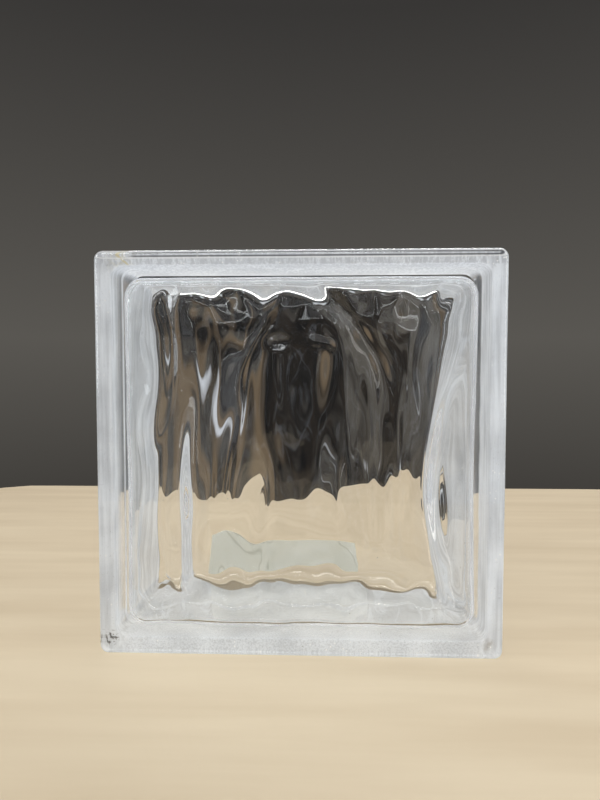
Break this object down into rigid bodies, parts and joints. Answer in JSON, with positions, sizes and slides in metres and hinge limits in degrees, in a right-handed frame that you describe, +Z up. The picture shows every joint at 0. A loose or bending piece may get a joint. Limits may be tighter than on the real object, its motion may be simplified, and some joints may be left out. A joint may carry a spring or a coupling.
{
  "type": "glass block",
  "caption": "Square hollow glass building block, fused from two pressed dishes, with wavy inner faces and a mortar channel round its edges.",
  "frame": {"origin": "middle of the underside, where the block stands on its lower rim edges", "axes": "+X across the face, +Y through the block from front to back, +Z up"},
  "size_m": [0.19, 0.0802, 0.19],
  "materials": {
    "clear_glass": "gloss",
    "cream_paper": "matte"
  },
  "bodies": {
    "root": {"glass_block": "clear_glass", "paper_tape": "cream_paper"}
  },
  "joints": []
}
